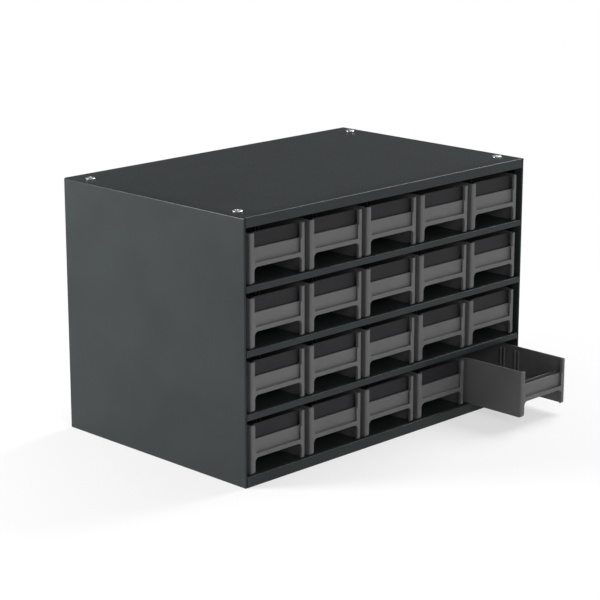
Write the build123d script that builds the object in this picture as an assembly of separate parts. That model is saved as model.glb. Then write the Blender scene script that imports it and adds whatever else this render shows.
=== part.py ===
from build123d import *
import os

# A steel small-parts cabinet with twenty moulded drawers, four rows of five.
# Origin: the middle of the base, on the surface the cabinet stands on.
# +X is to the right seen from the front, the front faces -Y, +Z is up. Millimetres.

# ---- the folded steel case -------------------------------------------------------------
CASE_WIDTH = 431.8
CASE_DEPTH = 279.4
CASE_HEIGHT = 279.4
SHEET = 0.9               # thickness of every sheet of the case
BEND_RADIUS = 1.5         # outer radius of the two long bends at the top
HEM_WIDTH = 2.3           # a side wall's front edge, folded back on itself
HEM_DEPTH = 12.0          # how far that fold runs back
TOP_BAND = 10.4           # the top's front edge, turned down
BOTTOM_BAND = 11.1        # the lowest shelf's front edge, turned down to the base
SHELF_LIP = 6.5           # the other shelves' front edges, turned down
FLANGE = 6.5              # welding flanges at the sides of each shelf
STOP_RISE = 6.5           # a shelf's back edge, turned up as the drawers' stop
BACK_FLANGE = 10.0        # welding flanges round the back panel
REAR_LIP = 8.0            # the top's rear edge, turned down over the back panel
SEAT_GAP = 0.3            # clearance where one sheet is let in beside another

# ---- drawers and their places ----------------------------------------------------------
ROWS = 4
COLUMNS = 5
SIDE_MARGIN = 5.9         # from a side wall's outer face to the middle of the outer guide
COLUMN_GAP = 7.4          # between two drawers side by side
HEADROOM = 6.9            # above a drawer's walls, up to the lip over it
SLIDE_GAP = 0.3           # running gap between a drawer and its shelf
FRONT_RECESS = 1.0        # the closed drawers stand this far behind the case's front
BACK_ROOM = 8.0           # from a closed drawer to the back panel
OPEN_PULL = 76.2          # how far the opened drawer is pulled out
OPENED_DRAWER = (4, 5)    # its row and column

# ---- one moulded drawer ----------------------------------------------------------------
WALL = 1.8                # side walls, floor and front panel
BACK_WALL = 2.2           # back wall and the stop tab on it
FLOOR_RISE = 17.5         # underside of the raised floor, above the foot of the skirts
LEDGE_TOP = 21.9          # top of the ledge under the label, above the foot of the skirts
PANEL_TOP = 36.5          # top of the front panel
PANEL_RECESS = 3.1        # the panel lies this far behind the face of the posts
POST_WIDTH = 5.2          # the two upright posts of the front frame
POST_DEPTH = 3.4
POST_ROUND = 2.5          # outer front corner of a post, seen from above
TOE_ROUND = 4.0           # lower front corner of a skirt, seen from the side
NOTCH_ROUND = 5.0         # upper corners of the finger notch
LIP_WIDTH = 1.6           # the lips that keep a label card against the panel
LIP_THICK = 1.2
TAB_WIDTH = 22.0          # stop tab on the back wall
TAB_CATCH = 2.5           # how far it reaches up behind the lip over the drawer
TAB_SLOPE = 4.0           # its corners are cut off at 45 degrees
RIB_WIDTH = 1.6           # upright ribs inside the walls, in pairs, that hold a divider
RIB_PROUD = 1.2
RIB_SLOT = 3.6            # clear width between the two ribs of a pair
RIB_DROP = 4.5            # the ribs end this far below the top of the wall
SEAT_FRONT = 68.3         # from the drawer's front to the middle of the first divider seat
SEAT_PITCH = 20.9         # from the first divider seat to the second

# ---- guides between the drawers --------------------------------------------------------
GUIDE_WIDTH = 5.0
GUIDE_HEIGHT = 12.0
GUIDE_SETBACK = 14.0      # from the case's front to the guide's nose
GUIDE_NOSE = 8.0          # the nose slopes up over this length
GUIDE_END_GAP = 12.0      # from the guide's end to the back panel

# ---- screws for bolting cabinets together ----------------------------------------------
SCREW_INSET_X = 16.0      # from the side of the case to a screw's axis
SCREW_INSET_Y = 26.0      # from the front or back of the case to a screw's axis
SCREW_HOLE = 5.5
SHANK_DIAMETER = 4.8
SHANK_LENGTH = 9.0
HEAD_DIAMETER = 10.6
HEAD_HEIGHT = 1.9
NUT_ACROSS_FLATS = 8.0
NUT_HEIGHT = 4.0
NUT_BORE = 5.0

# ---- places worked out from the sizes above --------------------------------------------
FRONT = -CASE_DEPTH / 2
SIDE = CASE_WIDTH / 2
SIDE_INNER = SIDE - SHEET
HEM_INNER = SIDE - HEM_WIDTH
TOP_INNER = CASE_HEIGHT - SHEET
WALL_REAR = CASE_DEPTH / 2 - SHEET - SEAT_GAP       # rear edges of the side walls
BACK_INNER = WALL_REAR - SHEET                      # front face of the back panel
FLANGE_FRONT = FRONT + HEM_DEPTH + SEAT_GAP         # side flanges run from here ...
FLANGE_REAR = BACK_INNER - BACK_FLANGE - SEAT_GAP   # ... to here

ROW_PITCH = (CASE_HEIGHT - TOP_BAND - BOTTOM_BAND + SHELF_LIP) / ROWS
OPENING_HEIGHT = ROW_PITCH - SHELF_LIP
COLUMN_PITCH = (CASE_WIDTH - 2 * SIDE_MARGIN) / COLUMNS

DRAWER_WIDTH = COLUMN_PITCH - COLUMN_GAP
DRAWER_HEIGHT = OPENING_HEIGHT - SLIDE_GAP - HEADROOM
DRAWER_LENGTH = BACK_INNER - BACK_ROOM - FRONT - FRONT_RECESS
STOP_FACE = FRONT + FRONT_RECESS + DRAWER_LENGTH + SEAT_GAP
TAB_TOP = OPENING_HEIGHT - SLIDE_GAP + TAB_CATCH
TRAVEL = DRAWER_LENGTH - BACK_WALL + FRONT_RECESS - SHEET - SEAT_GAP


def shelf_top(row):
    """Height of the shelf that carries a row; row 1 is the top row."""
    return BOTTOM_BAND + (ROWS - row) * ROW_PITCH


def column_middle(column):
    """Middle of a column of drawers; column 1 is at the left."""
    return (column - (COLUMNS + 1) / 2) * COLUMN_PITCH


def front_plane(y):
    """An upright drawing plane at y, with x to the right and z up, as seen from the front."""
    return Plane(origin=(0, y, 0), x_dir=(1, 0, 0), z_dir=(0, -1, 0))


def across(points, x0, x1):
    """A side outline of (y, z) points, carried across from x0 to x1."""
    plane = Plane(origin=(x0, 0, 0), x_dir=(0, 1, 0), z_dir=(1, 0, 0))
    return extrude(make_face(plane * Polyline(*points, close=True)), amount=x1 - x0, dir=(1, 0, 0))


def back(points, y0, y1):
    """A front outline of (x, z) points, carried back from y0 to y1."""
    return extrude(make_face(front_plane(y0) * Polyline(*points, close=True)), amount=y1 - y0, dir=(0, 1, 0))


def rectangle(a0, a1, b0, b1):
    return [(a0, b0), (a1, b0), (a1, b1), (a0, b1)]


def screw_places():
    """The screws' axes, seen from above."""
    x = SIDE - SCREW_INSET_X
    y = CASE_DEPTH / 2 - SCREW_INSET_Y
    return [(-x, -y), (x, -y), (x, y), (-x, y)]


def screw_holes(z0, z1):
    """Cutters for the four screw holes, through a sheet from z0 to z1."""
    holes = Sketch() + [Pos(x, y) * Circle(SCREW_HOLE / 2) for x, y in screw_places()]
    return extrude(Pos(0, 0, z0) * holes, amount=z1 - z0)


def case_wrapper():
    """Top and both side walls, folded from one sheet, with hemmed front edges."""
    outline = Rectangle(CASE_WIDTH, CASE_HEIGHT)
    corners = outline.vertices().group_by(Axis.Y)[-1]
    outer = fillet(corners, BEND_RADIUS)
    inner_width = CASE_WIDTH - 2 * SHEET
    inner = Pos(0, -SHEET) * Rectangle(inner_width, CASE_HEIGHT)
    inner = fillet(inner.vertices().group_by(Axis.Y)[-1], BEND_RADIUS - SHEET)
    sheet = front_plane(FRONT) * Pos(0, CASE_HEIGHT / 2) * (outer - inner)
    body = extrude(sheet, amount=WALL_REAR - FRONT, dir=(0, 1, 0))

    for side in (-1, 1):
        # the fold: a nose across the front and a leaf running back inside the wall
        nose = [(side * SIDE, 0), (side * HEM_INNER, 0),
                (side * HEM_INNER, TOP_INNER), (side * SIDE, TOP_INNER)]
        leaf = [(side * (HEM_INNER + SHEET), 0), (side * HEM_INNER, 0),
                (side * HEM_INNER, TOP_INNER), (side * (HEM_INNER + SHEET), TOP_INNER)]
        body += back(nose, FRONT, FRONT + SHEET)
        body += back(leaf, FRONT, FRONT + HEM_DEPTH)

    band = rectangle(-HEM_INNER, HEM_INNER, CASE_HEIGHT - TOP_BAND, TOP_INNER)
    body += back(band, FRONT, FRONT + SHEET)

    # the top runs on past the side walls and turns down over the back panel
    rear = CASE_DEPTH / 2
    hook = [(WALL_REAR, CASE_HEIGHT), (rear, CASE_HEIGHT), (rear, CASE_HEIGHT - REAR_LIP),
            (rear - SHEET, CASE_HEIGHT - REAR_LIP), (rear - SHEET, TOP_INNER), (WALL_REAR, TOP_INNER)]
    body += across(hook, BEND_RADIUS - SIDE, SIDE - BEND_RADIUS)
    return body - screw_holes(TOP_INNER, CASE_HEIGHT)


def back_panel():
    """Flat back with flanges turned forward all round, let in between the side walls."""
    lip = BACK_INNER - BACK_FLANGE
    top = TOP_INNER - (BEND_RADIUS - SHEET)     # just under the round inside the top's bends
    channel = [(WALL_REAR, SHEET), (WALL_REAR, top), (lip, top), (lip, top - SHEET),
               (BACK_INNER, top - SHEET), (BACK_INNER, 2 * SHEET), (lip, 2 * SHEET), (lip, SHEET)]
    body = across(channel, -SIDE_INNER, SIDE_INNER)
    for side in (-1, 1):
        flange = [(side * SIDE_INNER, SHEET), (side * (SIDE_INNER - SHEET), SHEET),
                  (side * (SIDE_INNER - SHEET), top), (side * SIDE_INNER, top)]
        body += back(flange, lip, BACK_INNER)
    return body


def base_pan():
    """Flat base sheet with upturned sides and the four holes for the cabinet below."""
    rise = BOTTOM_BAND - FLANGE - SEAT_GAP
    front = FRONT + SHEET
    body = across(rectangle(front, WALL_REAR, 0, SHEET), -(HEM_INNER - SEAT_GAP), HEM_INNER - SEAT_GAP)
    for side in (-1, 1):
        edge = side * (HEM_INNER - SEAT_GAP)
        corner = [(edge, 0), (side * SIDE_INNER, 0), (side * SIDE_INNER, rise),
                  (side * (SIDE_INNER - SHEET), rise), (side * (SIDE_INNER - SHEET), SHEET), (edge, SHEET)]
        body += back(corner, FLANGE_FRONT, FLANGE_REAR)
    return body - screw_holes(0, SHEET)


def shelf(top, lip):
    """A shelf: front lip, flat carrying sheet, upturned stop at the back, welding flanges at the sides."""
    rear = STOP_FACE + SHEET
    channel = [(FRONT, top), (STOP_FACE, top), (STOP_FACE, top + STOP_RISE), (rear, top + STOP_RISE),
               (rear, top - SHEET), (FRONT + SHEET, top - SHEET), (FRONT + SHEET, top - lip),
               (FRONT, top - lip)]
    middle = HEM_INNER - SEAT_GAP
    body = across(channel, -middle, middle)
    for side in (-1, 1):
        corner = [(side * middle, top), (side * SIDE_INNER, top), (side * SIDE_INNER, top - FLANGE),
                  (side * (SIDE_INNER - SHEET), top - FLANGE), (side * (SIDE_INNER - SHEET), top - SHEET),
                  (side * middle, top - SHEET)]
        body += back(corner, FLANGE_FRONT, FLANGE_REAR)
    return body


def drawer_guide(x, top):
    """Narrow folded channel on a shelf that keeps two neighbouring drawers apart."""
    half = GUIDE_WIDTH / 2
    nose = FRONT + GUIDE_SETBACK
    tail = BACK_INNER - GUIDE_END_GAP
    channel = [(x - half, top), (x - half, top + GUIDE_HEIGHT), (x + half, top + GUIDE_HEIGHT),
               (x + half, top), (x + half - SHEET, top), (x + half - SHEET, top + GUIDE_HEIGHT - SHEET),
               (x - half + SHEET, top + GUIDE_HEIGHT - SHEET), (x - half + SHEET, top)]
    side_view = [(nose, top), (nose + GUIDE_NOSE, top + GUIDE_HEIGHT),
                 (tail, top + GUIDE_HEIGHT), (tail, top)]
    return back(channel, nose, tail) & across(side_view, x - half, x + half)


def drawer_front_frame():
    """Posts and ledge of the front, flush with each other, round the window and the finger notch."""
    width = DRAWER_WIDTH - 2 * POST_WIDTH
    outline = Pos(0, DRAWER_HEIGHT / 2) * Rectangle(DRAWER_WIDTH, DRAWER_HEIGHT)
    window = Pos(0, LEDGE_TOP) * Rectangle(width, DRAWER_HEIGHT, align=(Align.CENTER, Align.MIN))
    notch = Pos(0, FLOOR_RISE) * Rectangle(width, DRAWER_HEIGHT, align=(Align.CENTER, Align.MAX))
    notch = fillet(notch.vertices().group_by(Axis.Y)[-1], NOTCH_ROUND)
    return extrude(front_plane(0) * (outline - window - notch), amount=POST_DEPTH, dir=(0, 1, 0))


def drawer_back_wall():
    """Back wall with the stop tab that catches behind the lip over the drawer."""
    wall = Rectangle(DRAWER_WIDTH, DRAWER_HEIGHT, align=(Align.CENTER, Align.MIN))
    tab = Rectangle(TAB_WIDTH, TAB_TOP, align=(Align.CENTER, Align.MIN))
    tab = chamfer(tab.vertices().group_by(Axis.Y)[-1], TAB_SLOPE)
    return extrude(front_plane(DRAWER_LENGTH) * (wall + tab), amount=BACK_WALL, dir=(0, -1, 0))


def divider_ribs():
    """Upright ribs in pairs on both walls, at the two divider seats."""
    foot = FLOOR_RISE + WALL / 2
    top = DRAWER_HEIGHT - RIB_DROP
    inner = DRAWER_WIDTH / 2 - WALL
    step = (RIB_SLOT + RIB_WIDTH) / 2
    ribs = []
    for side in (-1, 1):
        # a rib runs out into the wall at its top, so that a divider drops in
        root = side * (inner + WALL / 2)
        crest = side * (inner - RIB_PROUD)
        section = [(root, foot), (crest, foot), (crest, top - RIB_PROUD), (root, top + WALL / 2)]
        for seat in (SEAT_FRONT, SEAT_FRONT + SEAT_PITCH):
            for middle in (seat - step, seat + step):
                ribs.append(back(section, middle - RIB_WIDTH / 2, middle + RIB_WIDTH / 2))
    return ribs


def label_lips():
    """Thin lips beside the posts, in front of the panel, that hold a label card by its edges."""
    edge = DRAWER_WIDTH / 2 - POST_WIDTH
    lips = []
    for side in (-1, 1):
        outline = [(side * edge, LEDGE_TOP), (side * (edge - LIP_WIDTH), LEDGE_TOP),
                   (side * (edge - LIP_WIDTH), PANEL_TOP), (side * edge, PANEL_TOP)]
        lips.append(back(outline, 0, LIP_THICK))
    return lips


def drawer():
    """One moulded drawer: x from its middle, y back from the posts' face, z up from its skirts."""
    half = DRAWER_WIDTH / 2
    inner = half - WALL
    floor_top = FLOOR_RISE + WALL

    # walls, raised floor and skirts are one section, carried from front to back
    section = [(-half, 0), (-half, DRAWER_HEIGHT), (-inner, DRAWER_HEIGHT), (-inner, floor_top),
               (inner, floor_top), (inner, DRAWER_HEIGHT), (half, DRAWER_HEIGHT), (half, 0),
               (inner, 0), (inner, FLOOR_RISE), (-inner, FLOOR_RISE), (-inner, 0)]
    body = back(section, PANEL_RECESS, DRAWER_LENGTH)
    body += drawer_front_frame()
    body += back(rectangle(-inner, inner, FLOOR_RISE, PANEL_TOP), PANEL_RECESS, PANEL_RECESS + WALL)
    body += drawer_back_wall()
    body += divider_ribs()
    body += label_lips()

    # round the posts seen from above, and the toes of the skirts seen from the side
    plan = Rectangle(DRAWER_WIDTH, DRAWER_LENGTH, align=(Align.CENTER, Align.MIN))
    plan = fillet(plan.vertices().group_by(Axis.Y)[0], POST_ROUND)
    body &= extrude(plan, amount=TAB_TOP)
    side = Rectangle(DRAWER_LENGTH, TAB_TOP, align=(Align.MIN, Align.MIN))
    side = fillet(side.vertices().sort_by(Axis.X)[:2].sort_by(Axis.Y)[0], TOE_ROUND)
    plane = Plane(origin=(-half, 0, 0), x_dir=(0, 1, 0), z_dir=(1, 0, 0))
    body &= extrude(plane * side, amount=DRAWER_WIDTH, dir=(1, 0, 0))
    return body


def top_screw():
    """Pan-head screw, its head resting on the plane z = 0, its shank hanging through the sheet."""
    head = Cylinder(HEAD_DIAMETER / 2, HEAD_HEIGHT, align=(Align.CENTER, Align.CENTER, Align.MIN))
    length = SHEET + SHANK_LENGTH
    shank = Cylinder(SHANK_DIAMETER / 2, length, align=(Align.CENTER, Align.CENTER, Align.MAX))
    return head + shank


def top_nut():
    """Plain hexagon nut under the top, its upper face at the origin."""
    face = RegularPolygon(NUT_ACROSS_FLATS / 2, 6, major_radius=False) - Circle(NUT_BORE / 2)
    return extrude(face, amount=-NUT_HEIGHT)


def save(name, shape):
    export_step(shape, f"parts/{name}.step")


os.makedirs("parts", exist_ok=True)
save("case_wrapper", case_wrapper())
save("back_panel", back_panel())
save("base_pan", base_pan())
for row in range(1, ROWS + 1):
    lip = BOTTOM_BAND if row == ROWS else SHELF_LIP
    save(f"shelf_r{row}", shelf(shelf_top(row), lip))
    for place in range(COLUMNS + 1):
        x = column_middle(place) + COLUMN_PITCH / 2
        save(f"guide_r{row}_{place + 1}", drawer_guide(x, shelf_top(row)))

one_drawer = drawer()
for row in range(1, ROWS + 1):
    for column in range(1, COLUMNS + 1):
        pull = OPEN_PULL if (row, column) == OPENED_DRAWER else 0
        place = Pos(column_middle(column), FRONT + FRONT_RECESS - pull, shelf_top(row) + SLIDE_GAP)
        save(f"drawer_r{row}_c{column}", place * one_drawer)

save("top_screws", Compound([Pos(x, y, CASE_HEIGHT) * top_screw() for x, y in screw_places()]))
save("top_nuts", Compound([Pos(x, y, TOP_INNER) * top_nut() for x, y in screw_places()]))

print(f"drawer {DRAWER_WIDTH:.2f} x {DRAWER_LENGTH:.2f} x {DRAWER_HEIGHT:.2f}, travel {TRAVEL:.2f}")
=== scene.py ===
# %% [markdown]
# # A steel parts cabinet with twenty moulded drawers
# The cabinet is bent from thin steel sheet and powder coated. Its drawers are moulded plastic and
# slide out to the front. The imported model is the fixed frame: it says where each piece is and how
# it moves. This lesson dresses that frame with finer pieces and finishes, and moves nothing.

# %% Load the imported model
import math

import bmesh
import bpy
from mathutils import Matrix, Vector


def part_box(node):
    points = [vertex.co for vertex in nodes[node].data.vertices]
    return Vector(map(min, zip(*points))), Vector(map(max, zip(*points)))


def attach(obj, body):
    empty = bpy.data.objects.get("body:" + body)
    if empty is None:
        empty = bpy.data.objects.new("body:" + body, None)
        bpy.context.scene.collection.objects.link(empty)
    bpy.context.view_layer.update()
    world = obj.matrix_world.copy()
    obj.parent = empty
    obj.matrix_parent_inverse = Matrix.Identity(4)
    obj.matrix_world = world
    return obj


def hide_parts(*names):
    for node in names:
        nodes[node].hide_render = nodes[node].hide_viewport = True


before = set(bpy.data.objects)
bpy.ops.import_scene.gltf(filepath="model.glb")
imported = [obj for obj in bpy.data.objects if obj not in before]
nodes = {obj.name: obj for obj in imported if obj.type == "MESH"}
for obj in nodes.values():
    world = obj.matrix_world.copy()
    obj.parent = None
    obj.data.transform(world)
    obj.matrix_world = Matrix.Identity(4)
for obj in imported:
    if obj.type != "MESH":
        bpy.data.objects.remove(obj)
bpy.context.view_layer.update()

# %% [markdown]
# ## Sizes
# The frame is in metres, and a sheet-metal drawing is in millimetres, so a size is written in
# millimetres and multiplied by MM once. The outer sizes are read from the frame, so that they
# can't drift from it. Only the folds, which the frame gives no name to, are written here.

# %% Sizes of the folded case
MM = 0.001
case_low, case_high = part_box("case_wrapper")
back_low, back_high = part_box("back_panel")
SIDE = case_high.x                 # outer face of a side wall
FRONT = case_low.y
REAR = case_high.y
TOP = case_high.z
WALL_REAR = back_high.y            # rear edges of the side walls
SHEET = 0.9 * MM                   # thickness of every sheet
CUT_EDGE = 0.15 * MM               # how far a sheet's cut edges are broken
HEM = 2.3 * MM                     # width of a side wall's folded front edge
HEM_DEPTH = 12.0 * MM
TOP_BAND = 10.4 * MM               # the top's front edge, turned down
REAR_LIP = 8.0 * MM
TOP_BEND = 1.5 * MM                # outer radius of the two long bends at the top
FOLD = HEM / 2                     # outer radius of every other fold
SLIT = 0.2 * MM                    # gap where a fold ends beside another one
SAME_PLACE = 0.01 * MM             # points of a skin that are nearer than this are one point
ROWS = range(1, 5)
COLUMNS = range(1, 6)
print(f"case {2 * SIDE / MM:.1f} x {(REAR - FRONT) / MM:.1f} x {TOP / MM:.1f} mm")

# %% [markdown]
# ## The finishes
# Four finishes cover the cabinet: powder coat, the drawers' moulded plastic, the darker plastic of
# the plates in them, and bright zinc. Each one could be a single colour, but then the large flat
# faces would look like paper. A real coat has a fine orange peel, a moulding has the fine grain of
# its tool, and both vary a little in tone over a hand's width. Grain and tone are effects that
# several finishes share, so each is a node group that is built once.

# %% Helpers for node trees
def set_inputs(node, values):
    """Give values to a node's sockets, by name."""
    for name, value in values.items():
        node.inputs[name].default_value = value


def add_node(tree, kind, at, values=None, **settings):
    """A node of that kind, with its settings and the values of its sockets."""
    node = tree.nodes.new(kind)
    node.location = at
    for name, value in settings.items():
        setattr(node, name, value)
    set_inputs(node, values or {})
    return node


def feed(tree, node, values):
    """Feed a node's first sockets; each value is an output socket, a number or nothing."""
    for number, value in enumerate(values):
        if isinstance(value, (int, float)):
            node.inputs[number].default_value = value
        elif value is not None:
            tree.links.new(value, node.inputs[number])
    return node.outputs[0]


def maths(tree, at, operation, *values):
    """The result of a Math node on sockets or numbers."""
    return feed(tree, add_node(tree, "ShaderNodeMath", at, operation=operation), values)


def new_group(name, tree_kind, inputs, outputs):
    """A node group with named sockets: inputs are (name, kind, value), outputs (name, kind)."""
    tree = bpy.data.node_groups.new(name, tree_kind)
    for label, kind, value in inputs:
        socket = tree.interface.new_socket(label, in_out="INPUT", socket_type="NodeSocket" + kind)
        if value is not None:
            socket.default_value = value
    for label, kind in outputs:
        tree.interface.new_socket(label, in_out="OUTPUT", socket_type="NodeSocket" + kind)
    entry = add_node(tree, "NodeGroupInput", (-1200, 0))
    leave = add_node(tree, "NodeGroupOutput", (1600, 0))
    return tree, entry, leave


# %% [markdown]
# Fine grain is noise whose cells are a millimetre or less across. The group gives its height, for
# a bump, and a mask from 0 to 1, for the roughness. The size of a grain is given in metres, which
# is easier to judge against the object than the noise's own scale.

# %% The shared grain
def build_grain():
    tree, entry, leave = new_group(
        "fine_grain", "ShaderNodeTree",
        [("Vector", "Vector", None), ("Grain size", "Float", 0.001),
         ("Second size", "Float", 0.0003)],
        [("Height", "Float"), ("Mask", "Float")])
    link = tree.links.new
    heights = []
    for row, label in enumerate(("Grain size", "Second size")):
        scale = maths(tree, (-900, -200 * row), "DIVIDE", 1.0, entry.outputs[label])
        noise = add_node(tree, "ShaderNodeTexNoise", (-600, -200 * row), {
            "Detail": 2.0, "Roughness": 0.5})
        link(entry.outputs["Vector"], noise.inputs["Vector"])
        link(scale, noise.inputs["Scale"])
        heights.append(noise.outputs["Fac"])
    coarse, fine = heights
    both = maths(tree, (0, 0), "MULTIPLY_ADD", fine, 0.35, coarse)
    spread = add_node(tree, "ShaderNodeMapRange", (0, -200), {
        "From Min": 0.35, "From Max": 0.65})
    link(coarse, spread.inputs["Value"])
    link(both, leave.inputs["Height"])
    link(spread.outputs["Result"], leave.inputs["Mask"])
    return tree


grain_group = build_grain()
print("group:", grain_group.name, [s.name for s in grain_group.interface.items_tree])

# %% [markdown]
# Soft mottle is the slow change of tone across a panel: two colours that are nearly the same,
# mixed by noise with patches a few centimetres wide. The eye doesn't see the patches, only that
# the panel isn't a single flat colour.

# %% The shared mottle
def build_mottle():
    tree, entry, leave = new_group(
        "soft_mottle", "ShaderNodeTree",
        [("Vector", "Vector", None), ("Patch size", "Float", 0.04),
         ("Darker", "Color", (0.1, 0.1, 0.1, 1)), ("Lighter", "Color", (0.2, 0.2, 0.2, 1))],
        [("Color", "Color")])
    link = tree.links.new
    scale = maths(tree, (-900, 0), "DIVIDE", 1.0, entry.outputs["Patch size"])
    noise = add_node(tree, "ShaderNodeTexNoise", (-600, 0), {"Detail": 4.0, "Roughness": 0.55})
    spread = add_node(tree, "ShaderNodeMapRange", (0, 0), {"From Min": 0.3, "From Max": 0.7},
                      interpolation_type="SMOOTHSTEP")
    mix = add_node(tree, "ShaderNodeMix", (600, 0), data_type="RGBA")
    link(entry.outputs["Vector"], noise.inputs["Vector"])
    link(scale, noise.inputs["Scale"])
    link(noise.outputs["Fac"], spread.inputs["Value"])
    link(spread.outputs["Result"], mix.inputs["Factor"])
    link(entry.outputs["Darker"], mix.inputs[6])
    link(entry.outputs["Lighter"], mix.inputs[7])
    link(mix.outputs[2], leave.inputs["Color"])
    return tree


mottle_group = build_mottle()
print("group:", mottle_group.name, [s.name for s in mottle_group.interface.items_tree])

# %% [markdown]
# A finish puts both groups in front of a Principled BSDF. Numbers that are the same all over, such
# as Metallic, stand on the shader's own sockets. The pattern follows Object coordinates: every
# piece sits at the origin, so the same grain runs over all of them at the same scale.

# %% A helper that makes a finish
def new_finish(name, darker, lighter, patch, grain, roughness, relief, specular=0.5, metallic=0.0):
    """A material; grain is (size, second size), roughness is (smooth, rough) and relief is
    (strength, height). Sizes and heights are in metres."""
    material = bpy.data.materials.new(name)
    material.use_nodes = True
    tree = material.node_tree
    link = tree.links.new
    shader = tree.nodes["Principled BSDF"]
    set_inputs(shader, {"Metallic": metallic, "Specular IOR Level": specular})
    place = add_node(tree, "ShaderNodeTexCoord", (-1000, 0))
    tone = add_node(tree, "ShaderNodeGroup", (-700, 200), {
        "Patch size": patch, "Darker": (*darker, 1), "Lighter": (*lighter, 1)},
        node_tree=mottle_group)
    fine = add_node(tree, "ShaderNodeGroup", (-700, -200), {
        "Grain size": grain[0], "Second size": grain[1]}, node_tree=grain_group)
    rough = add_node(tree, "ShaderNodeMapRange", (-400, 0), {
        "To Min": roughness[0], "To Max": roughness[1]})
    bump = add_node(tree, "ShaderNodeBump", (-400, -300), {
        "Strength": relief[0], "Distance": relief[1]})
    link(place.outputs["Object"], tone.inputs["Vector"])
    link(place.outputs["Object"], fine.inputs["Vector"])
    link(tone.outputs["Color"], shader.inputs["Base Color"])
    link(fine.outputs["Mask"], rough.inputs["Value"])
    link(rough.outputs["Result"], shader.inputs["Roughness"])
    link(fine.outputs["Height"], bump.inputs["Height"])
    link(bump.outputs["Normal"], shader.inputs["Normal"])
    return material


# %% [markdown]
# Each finish is one call. The coat is nearly black with a blue cast and has the coarsest grain.
# The drawers are a neutral grey, the plates in them are darker and duller, and zinc is the only
# bare metal.

# %% The four finishes
powder_coat = new_finish(
    "case_powder_coat", darker=(0.023, 0.027, 0.028), lighter=(0.026, 0.031, 0.031), patch=0.05,
    grain=(0.0016, 0.0005), roughness=(0.28, 0.36), relief=(0.2, 0.0001), specular=0.15)
drawer_plastic = new_finish(
    "drawer_moulded_plastic", darker=(0.104, 0.104, 0.107), lighter=(0.114, 0.114, 0.117),
    patch=0.03, grain=(0.0007, 0.0002), roughness=(0.34, 0.46), relief=(0.25, 0.00005),
    specular=0.3)
divider_plastic = new_finish(
    "divider_dark_plastic", darker=(0.014, 0.014, 0.016), lighter=(0.017, 0.017, 0.019),
    patch=0.03, grain=(0.0007, 0.0002), roughness=(0.45, 0.57), relief=(0.25, 0.00005),
    specular=0.2)
bright_zinc = new_finish(
    "screw_bright_zinc", darker=(0.70, 0.71, 0.73), lighter=(0.80, 0.81, 0.82), patch=0.004,
    grain=(0.0006, 0.0002), roughness=(0.36, 0.46), relief=(0.1, 0.00002), metallic=1.0)
finishes = (powder_coat, drawer_plastic, divider_plastic, bright_zinc)
print("finishes:", [material.name for material in finishes])

# %% [markdown]
# ## Tools for sheet metal
# A folded sheet is easiest to draw as its outer skin, with no thickness: a side view made of
# straight runs and folds, carried sideways. Two skins that meet share their border points, so they
# merge into one sheet. Solidify then gives the sheet its 0.9 mm on the inside, and a small Bevel
# breaks the cut edges. That is also how the shop works: cut the flat, fold it, and the thickness
# comes by itself. A Boolean of boxes would give the same outline but sharp corners, and sharp
# corners catch no light.

# %% Draw a side view with folds
FOLD_STEPS = 5


def side_view(points):
    """Points (u, v) are plain and points (u, v, radius) are right-angled folds of that radius."""
    view = []
    for number, point in enumerate(points):
        corner = Vector(point[:2])
        if len(point) == 2:
            view.append(corner)
            continue
        before = (Vector(points[number - 1][:2]) - corner).normalized()
        after = (Vector(points[number + 1][:2]) - corner).normalized()
        centre = corner + (before + after) * point[2]
        for step in range(FOLD_STEPS + 1):
            turn = math.radians(90) * step / FOLD_STEPS
            view.append(centre - point[2] * (after * math.cos(turn) + before * math.sin(turn)))
    return view


def carry(skin, view, stations, place):
    """Carry a side view past the stations; place(u, v, w) turns it into a point of space."""
    rows = [[skin.verts.new(place(u, v, w)) for u, v in view] for w in stations]
    for first, second in zip(rows, rows[1:]):
        for left in range(len(view) - 1):
            skin.faces.new((first[left], first[left + 1], second[left + 1], second[left]))


def along_x(u, v, w):
    return (w, u, v)


def along_y(u, v, w):
    return (u, w, v)


def along_z(u, v, w):
    return (u, v, w)


# %% [markdown]
# The finishing steps are the same for every piece, so they are one helper each. A modifier is only
# kept until its result is read back with new_from_object, and the piece ends as a plain mesh.

# %% Turn a skin into a finished piece
def mesh_of(shape, name):
    """The shape as a mesh; the shape itself is freed."""
    mesh = bpy.data.meshes.new(name)
    shape.to_mesh(mesh)
    shape.free()
    return mesh


def in_scene(name, data):
    """A new object of the scene that holds the data."""
    thing = bpy.data.objects.new(name, data)
    bpy.context.scene.collection.objects.link(thing)
    return thing


def piece_from(mesh, name, material):
    """A new object that holds the mesh and shows the material."""
    mesh.materials.clear()
    mesh.materials.append(material)
    return in_scene(name, mesh)


def evaluated_mesh(thing):
    """A new mesh: what the object's modifiers make of its own."""
    depsgraph = bpy.context.evaluated_depsgraph_get()
    return bpy.data.meshes.new_from_object(thing.evaluated_get(depsgraph), depsgraph=depsgraph)


def apply_modifiers(piece):
    """Replace the piece's mesh by what its modifiers make of it, and drop the modifiers."""
    mesh = evaluated_mesh(piece)
    piece.modifiers.clear()
    old = piece.data
    piece.data = mesh
    bpy.data.meshes.remove(old)
    piece.data.name = piece.name


def thicken(piece, thickness):
    """A Solidify that leaves the skin in place and grows inwards."""
    solid = piece.modifiers.new("thickness", "SOLIDIFY")
    solid.thickness = thickness
    solid.offset = -1
    solid.use_even_offset = True


def soften(piece, width, sharp, clamp=False):
    """A Bevel on the edges whose faces meet at more than that angle."""
    soft = piece.modifiers.new("soft_edges", "BEVEL")
    soft.width = width
    soft.segments = 2
    soft.limit_method = "ANGLE"
    soft.angle_limit = math.radians(sharp)
    soft.use_clamp_overlap = clamp


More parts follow.
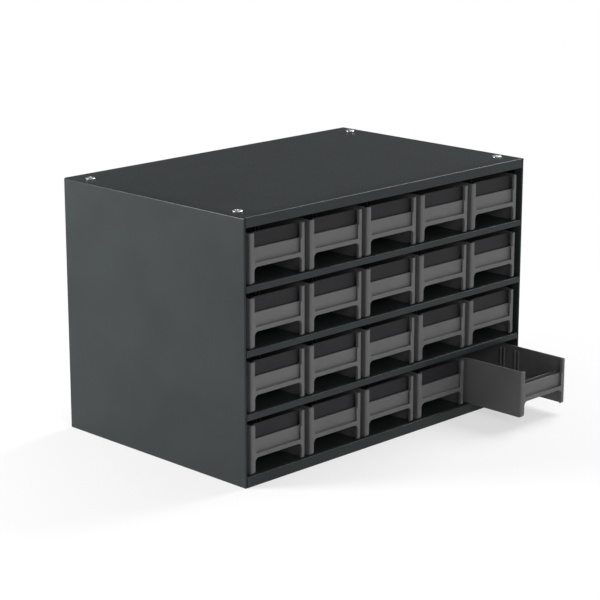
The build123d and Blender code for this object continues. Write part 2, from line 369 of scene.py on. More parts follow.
def cut_away(piece, shape, use_self=False):
    """Cut the shape out of the piece with a Boolean."""
    mesh = mesh_of(shape, "cutter")
    cutter = in_scene("cutter", mesh)
    cut = piece.modifiers.new("cut", "BOOLEAN")
    cut.operation = "DIFFERENCE"
    cut.solver = "EXACT"
    cut.use_self = use_self
    cut.object = cutter
    apply_modifiers(piece)
    bpy.data.objects.remove(cutter)
    bpy.data.meshes.remove(mesh)


def even_shading(piece, sharp=35):
    """Smooth the folds, keep flat faces flat, and keep edges above that angle sharp."""
    for face in piece.data.polygons:
        face.use_smooth = True
    piece.data.set_sharp_from_angle(angle=math.radians(sharp))
    weighted = piece.modifiers.new("even", "WEIGHTED_NORMAL")
    weighted.keep_sharp = True
    apply_modifiers(piece)
    return piece


def sheet_from(skin, name, facing):
    """Merge a skin, face its largest face the way that is given, and make it a coated sheet."""
    bmesh.ops.remove_doubles(skin, verts=skin.verts[:], dist=SAME_PLACE)
    bmesh.ops.recalc_face_normals(skin, faces=skin.faces[:])
    largest = max(skin.faces, key=lambda face: face.calc_area())
    if largest.normal.dot(Vector(facing)) < 0:
        bmesh.ops.reverse_faces(skin, faces=skin.faces[:])
    piece = piece_from(mesh_of(skin, name), name, powder_coat)
    thicken(piece, SHEET)
    soften(piece, CUT_EDGE, sharp=60)
    apply_modifiers(piece)
    print(name, len(piece.data.polygons), "faces")
    return even_shading(piece)


def on_case(piece, slot, *replaced):
    """The piece belongs to the case and stands for those hidden nodes; the slot is not used."""
    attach(piece, "cabinet")
    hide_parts(*replaced)


# %% [markdown]
# ## The folded case
# One sheet makes both side walls and the top. Its two long bends run from front to back. The front
# edges of the side walls are folded back on themselves: that hem is 2.3 mm wide, and it keeps
# hands from the cut edge. The top's front edge turns down between the hems as a narrow band, and
# its rear edge turns down over the back panel. The sheet is slit where a fold ends beside another
# one, so the skins below share a border only where the real sheet is whole.

# %% Fold the case
def fold_case():
    skin = bmesh.new()
    start = FRONT + FOLD                   # the front folds begin here
    hem_inner = SIDE - HEM
    hem_top = TOP - TOP_BEND - SLIT        # the hem stops just under the long bend
    band_end = hem_inner - SLIT
    shoulder = SIDE - TOP_BEND

    arch = side_view([(-SIDE, 0), (-SIDE, hem_top), (-SIDE, TOP, TOP_BEND), (-band_end, TOP),
                      (band_end, TOP), (SIDE, TOP, TOP_BEND), (SIDE, hem_top), (SIDE, 0)])
    carry(skin, arch, (start, WALL_REAR), along_y)

    for side in (-1, 1):
        corner = side_view([(side * SIDE, hem_top), (side * SIDE, TOP, TOP_BEND),
                            (side * band_end, TOP)])
        carry(skin, corner, (FRONT, start), along_y)
        hem = side_view([(side * SIDE, start), (side * SIDE, FRONT, FOLD),
                         (side * hem_inner, FRONT, FOLD), (side * hem_inner, FRONT + HEM_DEPTH)])
        carry(skin, hem, (0, hem_top), along_z)

    band = side_view([(start, TOP), (FRONT, TOP, FOLD), (FRONT, TOP - TOP_BAND)])
    carry(skin, band[1:], (-band_end, band_end), along_x)
    hook = side_view([(WALL_REAR, TOP), (REAR, TOP, FOLD), (REAR, TOP - REAR_LIP)])
    carry(skin, hook, (-shoulder, -band_end, band_end, shoulder), along_x)
    return sheet_from(skin, "folded_case", (0, 0, 1))


folded_case = fold_case()

# %% [markdown]
# The four screws of the top pass through round holes. The heads hide them from above, but the
# sheet is pierced all the same, because the screws would otherwise run through solid steel. A
# Boolean is the right tool for a few round holes in a flat sheet.

# %% Where the screws are, and their holes
screw_low, screw_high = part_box("top_screws")
HEAD_RADIUS = 5.3 * MM
HOLE_RADIUS = 2.75 * MM
SCREW_X = screw_high.x - HEAD_RADIUS
SCREW_Y = screw_high.y - HEAD_RADIUS
HEAD_TOP = screw_high.z - TOP


def pierce(piece):
    """Cut the four screw holes through the top sheet."""
    pins = bmesh.new()
    for x in (-SCREW_X, SCREW_X):
        for y in (-SCREW_Y, SCREW_Y):
            pin = bmesh.ops.create_cone(pins, cap_ends=True, segments=32, radius1=HOLE_RADIUS,
                                        radius2=HOLE_RADIUS, depth=6 * SHEET)
            bmesh.ops.translate(pins, verts=pin["verts"], vec=(x, y, TOP))
    cut_away(piece, pins)


pierce(folded_case)
on_case(folded_case, "case_paint", "case_wrapper")
print("screws at", round(SCREW_X / MM, 1), round(SCREW_Y / MM, 1), "head", round(HEAD_TOP / MM, 2))

# %% [markdown]
# ## The back panel
# The back is a shallow tray, let in between the side walls, with its four edges turned forward. It
# is folded the same way, and the corners are left open, as they are where two flanges meet.

# %% Fold the back panel
def fold_back():
    skin = bmesh.new()
    x = back_high.x
    low, high, y, lip = back_low.z, back_high.z, back_high.y, back_low.y
    inset = x - FOLD
    across = side_view([(lip, low), (y, low, FOLD), (y, high, FOLD), (lip, high)])
    carry(skin, across, (-inset, inset), along_x)
    for side in (-1, 1):
        edge = side_view([(side * inset, y), (side * x, y, FOLD), (side * x, lip)])
        carry(skin, edge[1:], (low + FOLD, high - FOLD), along_z)
    return sheet_from(skin, "folded_back", (0, 1, 0))


folded_back = fold_back()
on_case(folded_back, "case_paint", "back_panel")

# %% [markdown]
# ## The shelves
# Four shelves carry the drawers. They differ only in the height of the front lip: the lowest one
# reaches the base. A shape that follows a rule, with one size that changes, is what a Geometry
# Nodes tree is for. A tree here draws a side view as a line of points, rounds its folds with
# Fillet Curve and pulls the line sideways with Extrude Mesh. Every tree ends with Realize
# Instances and Set Material, and its result is read back as a plain mesh.

# %% Helpers for Geometry Nodes
def new_tree(name, sizes):
    """A Geometry Nodes tree with an input for each size, given as (name, kind)."""
    return new_group(
        name, "GeometryNodeTree",
        [("Geometry", "Geometry", None)] + [(label, kind, None) for label, kind in sizes],
        [("Geometry", "Geometry")])


def point(tree, at, x=None, y=None, z=None):
    """The vector of a Combine XYZ node."""
    return feed(tree, add_node(tree, "ShaderNodeCombineXYZ", at), (x, y, z))


def folded_line(tree, at, places, radii):
    """A line through the places, with each corner that has a radius rounded; a mesh of edges."""
    link = tree.links.new
    x, y = at
    line = add_node(tree, "GeometryNodeMeshLine", (x, y), {"Count": len(places)}, mode="OFFSET")
    index = add_node(tree, "GeometryNodeInputIndex", (x, y - 200))
    chosen = []
    for down, kind, values in ((200, "VECTOR", places), (400, "FLOAT", radii)):
        switch = add_node(tree, "GeometryNodeIndexSwitch", (x + 200, y - down), data_type=kind)
        while len(switch.index_switch_items) < len(values):
            switch.index_switch_items.new()
        link(index.outputs[0], switch.inputs["Index"])
        chosen.append(feed(tree, switch, [None, *values]))
    move = add_node(tree, "GeometryNodeSetPosition", (x + 400, y))
    curve = add_node(tree, "GeometryNodeMeshToCurve", (x + 600, y))
    corner = add_node(tree, "GeometryNodeFilletCurve", (x + 800, y), {"Count": 4}, mode="POLY")
    edges = add_node(tree, "GeometryNodeCurveToMesh", (x + 1000, y))
    link(line.outputs["Mesh"], move.inputs["Geometry"])
    link(chosen[0], move.inputs["Position"])
    link(move.outputs["Geometry"], curve.inputs["Mesh"])
    link(curve.outputs["Curve"], corner.inputs["Curve"])
    link(chosen[1], corner.inputs["Radius"])
    link(corner.outputs["Curve"], edges.inputs["Curve"])
    return edges.outputs["Mesh"]


def pull(tree, at, edges, offset):
    """Pull a line of edges into a strip of faces."""
    node = add_node(tree, "GeometryNodeExtrudeMesh", at, {"Offset Scale": 1.0}, mode="EDGES")
    tree.links.new(edges, node.inputs["Mesh"])
    tree.links.new(offset, node.inputs["Offset"])
    return node.outputs["Mesh"]


def finish_tree(tree, leave, geometry, material):
    """Realize Instances and Set Material, the last two nodes of every tree here."""
    real = add_node(tree, "GeometryNodeRealizeInstances", (1200, 0))
    paint = add_node(tree, "GeometryNodeSetMaterial", (1400, 0), {"Material": material})
    tree.links.new(geometry, real.inputs["Geometry"])
    tree.links.new(real.outputs["Geometry"], paint.inputs["Geometry"])
    tree.links.new(paint.outputs["Geometry"], leave.inputs["Geometry"])
    return tree


def run_tree(tree, name, sizes):
    """The plain mesh that the tree makes with those sizes."""
    carrier = in_scene(name, bpy.data.meshes.new(name))
    modifier = carrier.modifiers.new("tree", "NODES")
    modifier.node_group = tree
    for socket in tree.interface.items_tree:
        if socket.in_out == "INPUT" and socket.name in sizes:
            modifier[socket.identifier] = sizes[socket.name]
    mesh = evaluated_mesh(carrier)
    bpy.data.objects.remove(carrier)
    return mesh


# %% [markdown]
# A shelf is one folded run from front to back, the lip, the sheet and the stop at the rear, and a
# welding flange turned down at each side. The right flange is folded and the left one is its
# mirror image, whose faces are flipped so that they still look outwards.

# %% The tree of a shelf
def build_shelf_tree():
    tree, entry, leave = new_tree("folded_shelf", [(label, "Float") for label in (
        "Front", "Top", "Lip", "Stop face", "Stop rise", "Half width", "Wall", "Flange",
        "Flange front", "Flange rear", "Fold", "Rear fold")])
    size = entry.outputs
    link = tree.links.new
    below = maths(tree, (-900, 300), "SUBTRACT", size["Top"], size["Lip"])
    above = maths(tree, (-900, 150), "ADD", size["Top"], size["Stop rise"])
    left = maths(tree, (-900, 0), "MULTIPLY", size["Half width"], -1.0)
    width = maths(tree, (-900, -150), "MULTIPLY", size["Half width"], 2.0)
    side = [("Front", below), ("Front", size["Top"]), ("Flange front", size["Top"]),
            ("Flange rear", size["Top"]), ("Stop face", size["Top"]), ("Stop face", above)]
    places = [point(tree, (-700, 400 - 100 * number), left, size[station], height)
              for number, (station, height) in enumerate(side)]
    radii = [0.0, size["Fold"], 0.0, 0.0, size["Rear fold"], 0.0]
    edges = folded_line(tree, (-500, 400), places, radii)
    sheet = pull(tree, (700, 400), edges, point(tree, (500, 250), width))

    hang = maths(tree, (-900, -400), "SUBTRACT", size["Top"], size["Flange"])
    length = maths(tree, (-900, -550), "SUBTRACT", size["Flange rear"], size["Flange front"])
    side = [("Half width", size["Top"]), ("Wall", size["Top"]), ("Wall", hang)]
    places = [point(tree, (-700, -400 - 100 * number), size[across], size["Flange front"], height)
              for number, (across, height) in enumerate(side)]
    edges = folded_line(tree, (-500, -400), places, [0.0, size["Fold"], 0.0])
    right = pull(tree, (700, -400), edges, point(tree, (500, -550), None, length))
    mirror = add_node(tree, "GeometryNodeTransform", (900, -500), {"Scale": (-1, 1, 1)})
    turn = add_node(tree, "GeometryNodeFlipFaces", (1000, -500))
    link(right, mirror.inputs["Geometry"])
    link(mirror.outputs["Geometry"], turn.inputs["Mesh"])
    join = add_node(tree, "GeometryNodeJoinGeometry", (1050, 0))
    for part in (sheet, right, turn.outputs["Mesh"]):
        link(part, join.inputs["Geometry"])
    weld = add_node(tree, "GeometryNodeMergeByDistance", (1120, 0), {"Distance": SAME_PLACE})
    link(join.outputs["Geometry"], weld.inputs["Geometry"])
    return finish_tree(tree, leave, weld.outputs["Geometry"], powder_coat)


shelf_tree = build_shelf_tree()
print("tree:", shelf_tree.name, len(shelf_tree.nodes), "nodes")

# %% [markdown]
# The tree runs once for each shelf, with that shelf's own sizes from the frame. Its result is a
# skin, so it goes through the same last steps as the case.

# %% Fold the four shelves
STOP_RISE = 6.5 * MM
FLANGE = 6.5 * MM                  # also the height of the three upper front lips
SEAT_GAP = 0.3 * MM                # between a shelf and the sheets around it
for row in ROWS:
    low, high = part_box(f"shelf_r{row}")
    top = high.z - STOP_RISE
    mesh = run_tree(shelf_tree, f"shelf_skin_{row}", {
        "Front": FRONT, "Top": top, "Lip": top - low.z if row == ROWS[-1] else FLANGE,
        "Stop face": high.y - SHEET, "Stop rise": STOP_RISE, "Half width": SIDE - HEM - SEAT_GAP,
        "Wall": high.x, "Flange": FLANGE, "Flange front": FRONT + HEM_DEPTH + SEAT_GAP,
        "Flange rear": back_low.y - SEAT_GAP, "Fold": FOLD, "Rear fold": FOLD - SHEET / 2})
    skin = bmesh.new()
    skin.from_mesh(mesh)
    bpy.data.meshes.remove(mesh)
    shelf = sheet_from(skin, f"folded_shelf_{row}", (0, 0, 1))
    on_case(shelf, "case_paint", f"shelf_r{row}")

# %% [markdown]
# ## The drawer guides
# Narrow channels on each shelf keep the drawers apart: six in a row, four rows, all the same. They
# repeat, so one tree makes them all: it shapes one channel, sets it on a line of points and sets
# that line on a second one. The channel starts as a box without floor and ends, its front edge is
# pushed back into a ramp, and Solidify gives it the thickness of its sheet.

# %% The tree of the guides
def build_guide_tree():
    tree, entry, leave = new_tree("drawer_guides", [
        ("Width", "Float"), ("Height", "Float"), ("Length", "Float"), ("Ramp", "Float"),
        ("Per shelf", "Int"), ("Spacing", "Float"), ("Shelves", "Int"), ("Shelf pitch", "Float"),
        ("First", "Vector")])
    size = entry.outputs
    link = tree.links.new
    box = add_node(tree, "GeometryNodeMeshCube", (-700, 300))
    link(point(tree, (-900, 300), size["Width"], size["Length"], size["Height"]),
         box.inputs["Size"])
    place = add_node(tree, "GeometryNodeInputPosition", (-900, 0))
    split = add_node(tree, "ShaderNodeSeparateXYZ", (-700, 0))
    link(place.outputs[0], split.inputs[0])
    at_front = maths(tree, (-500, 50), "LESS_THAN", split.outputs["Y"], 0.0)
    at_top = maths(tree, (-500, -100), "GREATER_THAN", split.outputs["Z"], 0.0)
    push = maths(tree, (-300, 0), "MULTIPLY", at_front, at_top)
    ramp = add_node(tree, "GeometryNodeSetPosition", (-100, 300))
    link(box.outputs["Mesh"], ramp.inputs["Geometry"])
    link(push, ramp.inputs["Selection"])
    link(point(tree, (-300, -150), None, size["Ramp"]), ramp.inputs["Offset"])

    # the faces that stay are the top and the two sides: neither down, nor front, nor back
    normal = add_node(tree, "GeometryNodeInputNormal", (-500, -300))
    facing = add_node(tree, "ShaderNodeSeparateXYZ", (-300, -300))
    link(normal.outputs[0], facing.inputs[0])
    down = maths(tree, (-100, -250), "LESS_THAN", facing.outputs["Z"], -0.5)
    tail = maths(tree, (-100, -400), "GREATER_THAN", facing.outputs["Y"], 0.5)
    nose = maths(tree, (-100, -550), "LESS_THAN", facing.outputs["Y"], -0.5)
    gone = maths(tree, (250, -300), "ADD", maths(tree, (100, -300), "ADD", down, tail), nose)
    open_up = add_node(tree, "GeometryNodeDeleteGeometry", (400, 300), domain="FACE")
    link(ramp.outputs["Geometry"], open_up.inputs["Geometry"])
    link(gone, open_up.inputs["Selection"])

    line = add_node(tree, "GeometryNodeMeshLine", (300, 700), mode="OFFSET")
    link(size["Per shelf"], line.inputs["Count"])
    link(size["First"], line.inputs["Start Location"])
    link(point(tree, (100, 700), size["Spacing"]), line.inputs["Offset"])
    stack = add_node(tree, "GeometryNodeMeshLine", (300, 500), mode="OFFSET")
    link(size["Shelves"], stack.inputs["Count"])
    link(point(tree, (100, 500), None, None, size["Shelf pitch"]), stack.inputs["Offset"])
    one_shelf = add_node(tree, "GeometryNodeInstanceOnPoints", (700, 400))
    link(line.outputs["Mesh"], one_shelf.inputs["Points"])
    link(open_up.outputs["Geometry"], one_shelf.inputs["Instance"])
    every_shelf = add_node(tree, "GeometryNodeInstanceOnPoints", (900, 300))
    link(stack.outputs["Mesh"], every_shelf.inputs["Points"])
    link(one_shelf.outputs["Instances"], every_shelf.inputs["Instance"])
    return finish_tree(tree, leave, every_shelf.outputs["Instances"], powder_coat)


GUIDES = range(1, 7)               # on each shelf
GUIDE_RAMP = 8.0 * MM
GUIDE_BEND = 0.6 * MM
guide_tree = build_guide_tree()
guide_low, guide_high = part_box("guide_r4_1")
next_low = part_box("guide_r4_2")[0]
above_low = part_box("guide_r3_1")[0]
guide_mesh = run_tree(guide_tree, "guide_skin", {
    "Width": guide_high.x - guide_low.x, "Height": guide_high.z - guide_low.z,
    "Length": guide_high.y - guide_low.y, "Ramp": GUIDE_RAMP, "Per shelf": len(GUIDES),
    "Shelves": len(ROWS), "Spacing": next_low.x - guide_low.x,
    "Shelf pitch": above_low.z - guide_low.z, "First": tuple((guide_low + guide_high) / 2)})
drawer_guides = piece_from(guide_mesh, "drawer_guides", powder_coat)
soften(drawer_guides, GUIDE_BEND, sharp=60, clamp=True)
thicken(drawer_guides, SHEET / 2)
apply_modifiers(drawer_guides)
even_shading(drawer_guides)
guide_nodes = [f"guide_r{row}_{number}" for row in ROWS for number in GUIDES]
on_case(drawer_guides, "case_paint", *guide_nodes)
print("guides:", len(drawer_guides.data.polygons), "faces")

# %% [markdown]
# ## The base pan
# The base is a flat sheet under the lowest shelf, with its sides turned up. Little of it is ever
# seen, and the frame already has its shape, so a merged copy with softened edges is enough. The
# copy is needed because the frame's own mesh is loose triangles and must stay as it is.

# %% Copy a node and soften its edges
def softened_copy(node, name, material, width):
    """A merged copy of a node, its flat faces whole again and its edges rounded by that width."""
    shape = bmesh.new()
    shape.from_mesh(nodes[node].data)
    bmesh.ops.remove_doubles(shape, verts=shape.verts[:], dist=0.002 * MM)
    bmesh.ops.dissolve_limit(
        shape, angle_limit=math.radians(0.5), verts=shape.verts[:], edges=shape.edges[:])
    piece = piece_from(mesh_of(shape, name), name, material)
    soften(piece, width, sharp=30)
    apply_modifiers(piece)
    return even_shading(piece)


base_pan = softened_copy("base_pan", "base_sheet", powder_coat, CUT_EDGE)
on_case(base_pan, "case_paint", "base_pan")
print("base:", len(base_pan.data.polygons), "faces")

# %% [markdown]
# ## The screws on the top
# Four pan-head screws stand on the top, one near each corner. A head is a turned part, so its
# profile is spun round its axis with plain mesh code, which leaves the pole closed. The cross for
# the driver is cut in afterwards, by a Boolean with two tapered blades.

# %% Turn one screw
HEAD_RIM = 0.8 * MM                # height of the head's straight rim
SHANK = 2.4 * MM                   # radius
SHANK_TIP = 0.5 * MM               # chamfer at the shank's end
TURNS = 40                         # flats round a turned part
CROWN_STEPS = 8
BLADE_TOP = (5.4 * MM, 1.15 * MM, HEAD_TOP + 0.4 * MM)     # length, width and height
BLADE_TIP = (2.6 * MM, 0.7 * MM, HEAD_TOP - 1.3 * MM)


def turned(profile):
    """A closed shape from a profile of (radius, height) points, first and last on the axis."""
    shape = bmesh.new()
    rings = []
    angles = [2 * math.pi * step / TURNS for step in range(TURNS)]
    for radius, height in profile:
        around = angles if radius else [0]
        rings.append([shape.verts.new((radius * math.cos(a), radius * math.sin(a), height))
                      for a in around])
    for lower, upper in zip(rings, rings[1:]):
        for step in range(TURNS):
            following = (step + 1) % TURNS
            corners = [lower[step % len(lower)], lower[following % len(lower)],
                       upper[following % len(upper)], upper[step % len(upper)]]
            shape.faces.new(list(dict.fromkeys(corners)))
    bmesh.ops.recalc_face_normals(shape, faces=shape.faces[:])
    return shape


def make_screw():
    """A screw whose head rests on z = 0, with a straight rim and a domed crown."""
    foot = screw_low.z - TOP
    profile = [(0, foot), (SHANK - SHANK_TIP, foot), (SHANK, foot + SHANK_TIP), (SHANK, 0),
               (HEAD_RADIUS, 0)]
    for step in range(CROWN_STEPS):
        turn = math.radians(90) * step / CROWN_STEPS
        profile.append((HEAD_RADIUS * math.cos(turn) ** 0.8,
                        HEAD_RIM + (HEAD_TOP - HEAD_RIM) * math.sin(turn) ** 0.9))
    profile.append((0, HEAD_TOP))
    return piece_from(mesh_of(turned(profile), "one_screw"), "one_screw", bright_zinc)


def cut_cross(screw):
    """Cut the driver's cross into the crown: two tapered blades at right angles."""
    blades = bmesh.new()
    for turn in (0, 1):
        for vertex in bmesh.ops.create_cube(blades, size=1)["verts"]:
            length, width, height = BLADE_TIP if vertex.co.z < 0 else BLADE_TOP
            along, across = vertex.co.x * length, vertex.co.y * width
            vertex.co = (-across, along, height) if turn else (along, across, height)
    blades.normal_update()
    cut_away(screw, blades, use_self=True)
    even_shading(screw, sharp=40)


one_screw = make_screw()
cut_cross(one_screw)
print("screw:", len(one_screw.data.polygons), "faces")

# %% [markdown]
# A tree sets the finished screw on the four corners of a grid. Nobody tightens four screws to the
# same angle, so each one is turned by a random part of a quarter turn.

# %% The tree that sets the screws
def build_screw_tree():
    tree, entry, leave = new_tree("corner_screws", [
        ("Screw", "Object"), ("Length", "Float"), ("Depth", "Float"), ("Height", "Float"),
        ("Seed", "Int")])
    size = entry.outputs
    link = tree.links.new
    grid = add_node(tree, "GeometryNodeMeshGrid", (-400, 200), {"Vertices X": 2, "Vertices Y": 2})
    link(size["Length"], grid.inputs["Size X"])
    link(size["Depth"], grid.inputs["Size Y"])
    lift = add_node(tree, "GeometryNodeTransform", (-200, 200))
    link(grid.outputs["Mesh"], lift.inputs["Geometry"])
    link(point(tree, (-400, 0), None, None, size["Height"]), lift.inputs["Translation"])
    source = add_node(tree, "GeometryNodeObjectInfo", (-200, 0))
    link(size["Screw"], source.inputs["Object"])
    turn = add_node(tree, "FunctionNodeRandomValue", (-200, -200), data_type="FLOAT")
    low, high = [s for s in turn.inputs if s.enabled and s.name in ("Min", "Max")]
    low.default_value = 0.0
    high.default_value = math.pi / 2
    link(size["Seed"], turn.inputs["Seed"])
    angle = [s for s in turn.outputs if s.enabled][0]
    place = add_node(tree, "GeometryNodeInstanceOnPoints", (200, 200))
    link(lift.outputs["Geometry"], place.inputs["Points"])
    link(source.outputs["Geometry"], place.inputs["Instance"])
    link(point(tree, (0, -200), None, None, angle), place.inputs["Rotation"])
    return finish_tree(tree, leave, place.outputs["Instances"], bright_zinc)


screw_tree = build_screw_tree()
screw_mesh = run_tree(screw_tree, "corner_screws", {
    "Screw": one_screw, "Length": 2 * SCREW_X, "Depth": 2 * SCREW_Y, "Height": TOP, "Seed": 3})
bpy.data.objects.remove(one_screw)
corner_screws = piece_from(screw_mesh, "corner_screws", bright_zinc)
even_shading(corner_screws, sharp=40)
on_case(corner_screws, "zinc", "top_screws")
print("screws:", len(corner_screws.data.polygons), "faces")

# %% [markdown]
# The nuts under the top are the right shape as they are, so the frame's own node stays and only
# gets its finish. Setting the material on the node's slots leaves its mesh alone.

# %% Finish the nuts
for slot in nodes["top_nuts"].material_slots:
    slot.material = bright_zinc

# %% [markdown]
# ## The drawers
# All twenty drawers come from one mould, so one is made with care and copied. A moulding has no
# sharp edges: the tool is cut with a small radius everywhere, and that radius is what draws the
# thin light line round the front frame. The frame's drawer has the right walls, posts, ledge and
# ribs, so the piece is a merged copy of it with every edge rounded by a third of a millimetre.

# %% Round one drawer
DRAWER_EDGE = 0.35 * MM
model_drawer = softened_copy("drawer_r1_c1", "model_drawer", drawer_plastic, DRAWER_EDGE)
model_low, model_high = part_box("drawer_r1_c1")
size = [round(v / MM, 1) for v in model_high - model_low]
print("drawer:", len(model_drawer.data.polygons), "faces,", size)

# %% [markdown]
# A low wall stands across the drawer a finger's width behind the front panel and as high as it, so
# that there is a narrow dark trough between the two. In the nineteen closed drawers a plain dark
# plate stands in the trough, right behind the panel and as high as the drawer, and closes the
# window over the label. It ends a little short of the posts, which leaves a thin dark gap at each
# end. Both are flat pieces of sheet, so both are the same small block with broken edges.

# %% A flat block with broken edges
WALL = 1.8 * MM                    # thickness of the drawer's walls
FLOOR_TOP = 19.3 * MM              # this height and the next two are above the drawer's foot
PANEL_TOP = 36.5 * MM
PLATE_TOP = 52.3 * MM
TROUGH = 11.4 * MM                 # from the drawer's front to the low wall
LOW_WALL = 1.2 * MM
BURIED = 0.6 * MM                  # how far the low wall runs into the walls and the floor
PANEL_BACK = 4.9 * MM              # from the drawer's front to the back of its label panel
PLAY = 0.1 * MM                    # between that panel and the plate
PLATE = 1.4 * MM
PLATE_END = 6.7 * MM               # from the drawer's side to the end of its plate
LOW_WALL_EDGE = 0.3 * MM
PLATE_EDGE = 0.25 * MM


def flat_block(name, low, high, material, edge):
    """A block between two corners whose edges are broken by that width."""
    shape = bmesh.new()
    for vertex in bmesh.ops.create_cube(shape, size=1)["verts"]:
        vertex.co = Vector([low[i] if vertex.co[i] < 0 else high[i] for i in range(3)])
    bmesh.ops.bevel(
        shape, geom=shape.edges[:], offset=edge, segments=2, profile=0.5, affect="EDGES")
    return even_shading(piece_from(mesh_of(shape, name), name, material), sharp=50)


def add_low_wall(drawer):
    """Stand the low wall in the model drawer and make the two one mesh."""
    low = (model_low.x + WALL - BURIED, model_low.y + TROUGH, model_low.z + FLOOR_TOP - BURIED)
    high = (model_high.x - WALL + BURIED, model_low.y + TROUGH + LOW_WALL,
            model_low.z + PANEL_TOP)
    wall = flat_block("low_wall", low, high, drawer_plastic, LOW_WALL_EDGE)
    both = bmesh.new()
    both.from_mesh(drawer.data)
    both.from_mesh(wall.data)
    both.to_mesh(drawer.data)
    both.free()
    bpy.data.objects.remove(wall)
    even_shading(drawer)


add_low_wall(model_drawer)
plate_y = model_low.y + PANEL_BACK + PLAY
model_plate = flat_block(
    "model_plate", (model_low.x + PLATE_END, plate_y, model_low.z + FLOOR_TOP),
    (model_high.x - PLATE_END, plate_y + PLATE, model_low.z + PLATE_TOP), divider_plastic,
    PLATE_EDGE)
print("drawer with its low wall:", len(model_drawer.data.polygons), "faces")

# %% [markdown]
# Each copy's place is put in its mesh, so that every piece stays at the origin, and each one rides
# on the body of its own slide. The drawer that stands open in the photograph has no plate.

# %% Copy them to their places
OPENED = (4, 5)


def copy_by(model, step, name, material):
    """A copy of the model whose mesh is moved by the step."""
    mesh = model.data.copy()
    for vertex in mesh.vertices:
        vertex.co += step
    return piece_from(mesh, name, material)


for row in ROWS:
    for column in COLUMNS:
        place = f"{row}_{column}"
        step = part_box(f"drawer_r{row}_c{column}")[0] - model_low
        moulded = copy_by(model_drawer, step, "moulded_drawer_" + place, drawer_plastic)
        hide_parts(f"drawer_r{row}_c{column}")
        riders = [moulded]
        if (row, column) != OPENED:
            riders.append(copy_by(model_plate, step, "front_plate_" + place, divider_plastic))
        for piece in riders:
            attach(piece, f"tray_r{row}_c{column}")
bpy.data.objects.remove(model_drawer)
bpy.data.objects.remove(model_plate)
print("drawers placed:", len(ROWS) * len(COLUMNS))

# %% [markdown]
# ## Floor, light and camera
# The photograph is a product picture on white. The floor is a pale matt sheet that still takes the
# object's shadow. To the camera and in reflections it also gives light of its own, more of it
# farther from the object, so that it reads as white and no lamp has to be turned up for it.

# %% The floor
FLOOR_REACH = 4.0                  # metres from the middle to an edge
FLOOR_DROP = 0.2 * MM
WHITE_FROM, WHITE_AT = 0.25, 0.9   # metres from the middle between which the own light rises
NEAR_SHARE = 0.6                   # share of the own light up to the first; beyond the second, 1


def rays(tree, at, *kinds):
    """1 for a ray of those kinds and 0 for any other."""
    path = add_node(tree, "ShaderNodeLightPath", at)
    seen = path.outputs[kinds[0]]
    for kind in kinds[1:]:
        seen = maths(tree, (at[0] + 200, at[1]), "MAXIMUM", seen, path.outputs[kind])
    return seen


def lay_floor():
    sheet = bmesh.new()
    bmesh.ops.create_grid(sheet, x_segments=1, y_segments=1, size=FLOOR_REACH)
    bmesh.ops.translate(sheet, verts=sheet.verts[:], vec=(0, 0, -FLOOR_DROP))
    material = bpy.data.materials.new("pale_floor")
    material.use_nodes = True
    tree = material.node_tree
    link = tree.links.new
    shader = tree.nodes["Principled BSDF"]
    set_inputs(shader, {
        "Base Color": (0.86, 0.86, 0.86, 1), "Roughness": 0.9, "Specular IOR Level": 0.1})
    seen = rays(tree, (-600, 300), "Is Camera Ray", "Is Glossy Ray", "Is Transmission Ray")
    place = add_node(tree, "ShaderNodeTexCoord", (-900, 0))
    reach = add_node(tree, "ShaderNodeVectorMath", (-700, 0), operation="LENGTH")
    spread = add_node(tree, "ShaderNodeMapRange", (-450, 0), {
        "From Min": WHITE_FROM, "From Max": WHITE_AT, "To Min": NEAR_SHARE},
        interpolation_type="SMOOTHSTEP")
    link(place.outputs["Object"], reach.inputs[0])
    link(reach.outputs["Value"], spread.inputs["Value"])
    share = maths(tree, (-200, 300), "MULTIPLY", seen, spread.outputs["Result"])
    white = add_node(tree, "ShaderNodeEmission", (0, -400))
    mix = add_node(tree, "ShaderNodeMixShader", (350, 200))
    feed(tree, mix, (share, shader.outputs[0], white.outputs[0]))
    link(mix.outputs[0], tree.nodes["Material Output"].inputs["Surface"])
    floor = piece_from(mesh_of(sheet, "floor"), "floor", material)


lay_floor()

# %% [markdown]
# The world is white to the camera. Reflections see it white up to a little over the horizon, as a
# studio's backdrop is, and dim above that, so that the flat top doesn't mirror a white sky.
# Everything else gets a plain grey light from it.

# %% The world
PLAIN_LIGHT = 0.25
BACKDROP_TOP = 0.1                 # sine of the angle above the horizon
DIM_SKY = 0.1


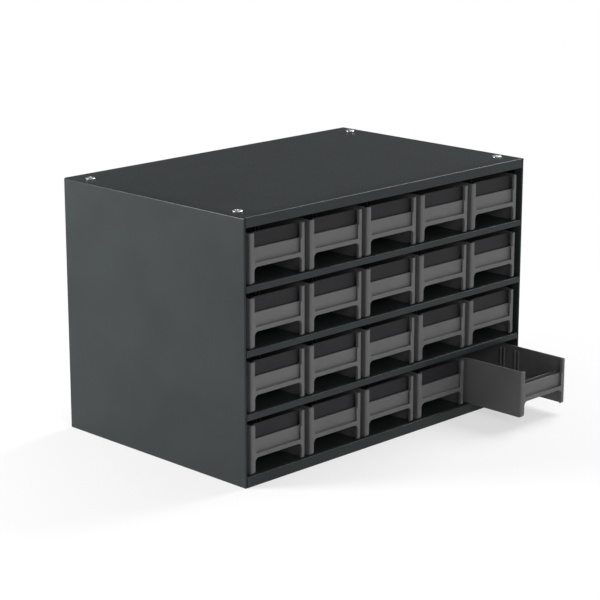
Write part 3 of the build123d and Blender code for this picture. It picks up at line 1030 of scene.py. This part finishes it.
def build_world():
    world = bpy.data.worlds.new("studio")
    bpy.context.scene.world = world
    world.use_nodes = True
    tree = world.node_tree
    link = tree.links.new
    background = tree.nodes["Background"]
    set_inputs(background, {"Color": (1, 1, 1, 1)})
    place = add_node(tree, "ShaderNodeTexCoord", (-1300, -300))
    height = add_node(tree, "ShaderNodeSeparateXYZ", (-1100, -300))
    backdrop = add_node(tree, "ShaderNodeMapRange", (-900, -300), {
        "From Min": 0.0, "From Max": BACKDROP_TOP, "To Min": 1.0, "To Max": DIM_SKY},
        interpolation_type="SMOOTHSTEP")
    mirrored = add_node(tree, "ShaderNodeMix", (-550, 0), {"A": PLAIN_LIGHT}, data_type="FLOAT")
    strength = add_node(tree, "ShaderNodeMix", (-250, 0), {"B": 1.0}, data_type="FLOAT")
    link(place.outputs["Generated"], height.inputs["Vector"])
    link(height.outputs["Z"], backdrop.inputs["Value"])
    link(rays(tree, (-900, 0), "Is Glossy Ray"), mirrored.inputs["Factor"])
    link(backdrop.outputs["Result"], mirrored.inputs["B"])
    link(rays(tree, (-900, 300), "Is Camera Ray", "Is Transmission Ray"),
         strength.inputs["Factor"])
    link(mirrored.outputs[0], strength.inputs["A"])
    link(strength.outputs[0], background.inputs["Strength"])


build_world()

# %% [markdown]
# Three soft lamps do the rest. One stands near at the left and a little behind, so the side wall
# is brighter than the front and darkens gently towards the floor, as in the photograph. One in
# front shows the drawers. The broad one at the right is what every folded edge mirrors to the
# camera: it draws the thin light lines along the top's front edge and the shelves' lips.

# %% The lamps
def aim_at(thing, place, aim):
    """Put a lamp or the camera at a place and turn it to a point."""
    thing.location = place
    thing.rotation_euler = (Vector(aim) - Vector(place)).to_track_quat("-Z", "Y").to_euler()


def soft_lamp(name, place, aim, size, power):
    """A square area lamp at a place, aimed at a point."""
    data = bpy.data.lights.new(name, "AREA")
    data.shape = "SQUARE"
    data.size = size
    data.energy = power
    aim_at(in_scene(name, data), place, aim)


soft_lamp("left_lamp", (-1.25, 0.75, 0.6), (-0.2, 0, 0.14), 0.5, 27)
soft_lamp("front_lamp", (-1.0, -2.5, 1.3), (0, 0, 0.12), 1.0, 24)
soft_lamp("edge_lamp", (2.1, -0.1, 2.0), (0, 0, 0.2), 1.5, 80)

# %% [markdown]
# The camera was worked out from the corners of the case in the photograph: 15 degrees above the
# floor, 45 degrees round to the left, and far enough away that the edges stay almost parallel.

# %% The camera
camera_data = bpy.data.cameras.new("camera")
camera_data.sensor_width = 36
camera_data.lens = 121.55
camera_data.clip_end = 50
camera = in_scene("camera", camera_data)
aim_at(camera, (-1.5385, -1.5363, 0.7128), (0.0014, 0, 0.1295))
bpy.context.scene.camera = camera
bpy.context.scene.view_settings.view_transform = "Standard"
